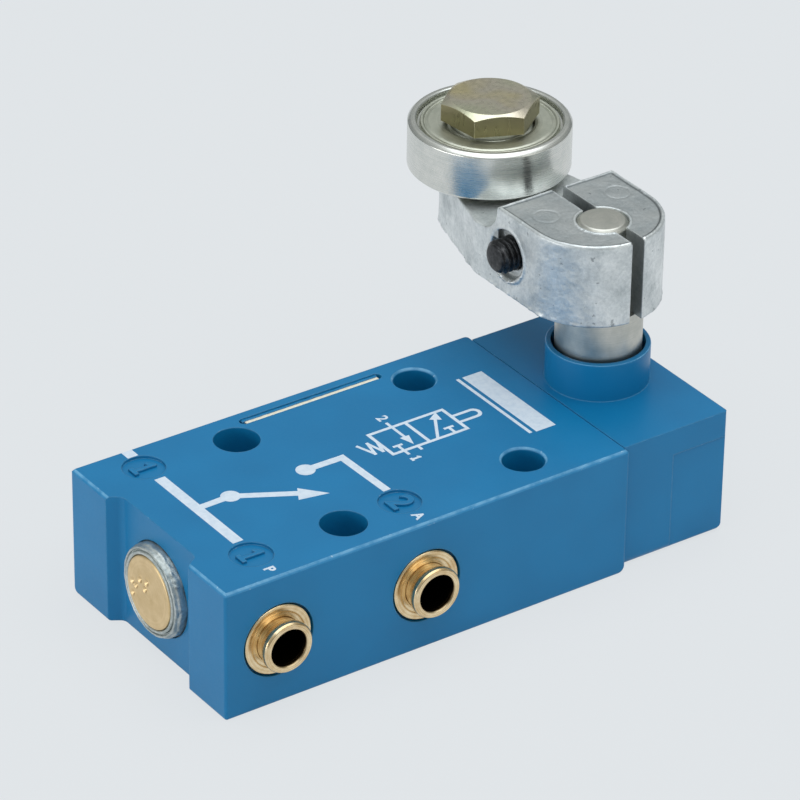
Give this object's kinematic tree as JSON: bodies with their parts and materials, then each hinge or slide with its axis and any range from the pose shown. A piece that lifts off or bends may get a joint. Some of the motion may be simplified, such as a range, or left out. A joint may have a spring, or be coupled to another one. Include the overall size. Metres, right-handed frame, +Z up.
{
  "type": "lever-operated pneumatic limit valve",
  "caption": "Pneumatic limit valve with a blue moulded body, push-in tube ports and a cast clamp lever that carries a ball-bearing roller.",
  "frame": {"origin": "on the underside, at the centre of the four-hole mounting pattern, on the body's middle plane", "axes": "+X towards the lever end of the body, +Y away from the two front ports, towards the back port, +Z up through the mounting holes"},
  "size_m": [0.0705, 0.0494, 0.0417],
  "materials": {
    "moulded_blue": "satin moulded",
    "cast_zinc": "as cast",
    "brass": "turned",
    "bronze": "turned",
    "rubber": "moulded",
    "black_steel": "black oxide",
    "steel": "ground",
    "spring_steel": "drawn wire",
    "plated_steel": "satin plated",
    "yellow_zinc": "yellow zinc plated",
    "bearing_steel": "polished",
    "shield_steel": "pressed",
    "ball_steel": "polished",
    "cage_plastic": "moulded"
  },
  "bodies": {
    "body": {"valve_body": "moulded_blue", "head_housing": "moulded_blue", "head_screws": "black_steel", "head_seal": "rubber", "end_collar": "cast_zinc", "end_disc": "brass", "end_seal": "rubber", "valve_cage": "brass", "cage_seals": "rubber", "tappet_guide": "brass", "tappet_seal": "rubber", "port_inserts": "brass", "tube_seals": "rubber", "exhaust_strip": "brass", "foot_bush": "bronze", "top_bush": "bronze", "shaft_seal": "rubber", "stop_pin": "steel", "return_spring": "spring_steel"},
    "lever": {"lever_shaft": "plated_steel", "cam": "steel", "cam_pin": "steel", "clamp_lever": "cast_zinc", "clamp_screw": "black_steel", "roller_bolt": "yellow_zinc", "roller_washer": "yellow_zinc", "bearing_inner_ring": "bearing_steel"},
    "roller": {"bearing_outer_ring": "bearing_steel", "bearing_shields": "shield_steel"},
    "ball_set": {"ball_cage": "cage_plastic", "bearing_balls": "ball_steel"},
    "plunger": {"tappet": "steel", "exhaust_seal": "rubber", "poppet_stem": "brass", "supply_seal": "rubber"},
    "collet_supply_front": {"collet_supply_front": "brass"},
    "collet_outlet": {"collet_outlet": "brass"},
    "collet_supply_back": {"collet_supply_back": "brass"}
  },
  "joints": [
    {"name": "lever_turn", "type": "hinge", "parent": "body", "child": "lever", "pos_m": [0.03, 0, 0.0157], "axis": [0, 0, 1], "range_deg": [0, 45], "stiffness_Nm_per_rad": 0.04, "springref_deg": -28.65},
    {"name": "plunger_stroke", "type": "slide", "parent": "body", "child": "plunger", "axis": [-1, 0, 0], "range_m": [0, 0.0018], "deforming": ["return_spring"]},
    {"name": "roller_spin", "type": "hinge", "parent": "lever", "child": "roller", "pos_m": [0.0305, 0.0223, 0.036], "axis": [0, 0, 1], "continuous": true},
    {"name": "ball_set_spin", "type": "hinge", "parent": "lever", "child": "ball_set", "pos_m": [0.0305, 0.0223, 0.036], "axis": [0, 0, 1], "continuous": true},
    {"name": "collet_supply_front_push", "type": "slide", "parent": "body", "child": "collet_supply_front", "axis": [0, 1, 0], "range_m": [0, 0.001], "stiffness_N_per_m": 500, "springref_m": -0.0005},
    {"name": "collet_outlet_push", "type": "slide", "parent": "body", "child": "collet_outlet", "axis": [0, 1, 0], "range_m": [0, 0.001], "stiffness_N_per_m": 500, "springref_m": -0.0005},
    {"name": "collet_supply_back_push", "type": "slide", "parent": "body", "child": "collet_supply_back", "axis": [0, -1, 0], "range_m": [0, 0.001], "stiffness_N_per_m": 500, "springref_m": -0.0005}
  ],
  "couplings": [
    {"joint": "plunger_stroke", "follows": "lever_turn", "m_per_rad": 0.0022918},
    {"joint": "ball_set_spin", "follows": "roller_spin", "ratio": 0.64}
  ]
}
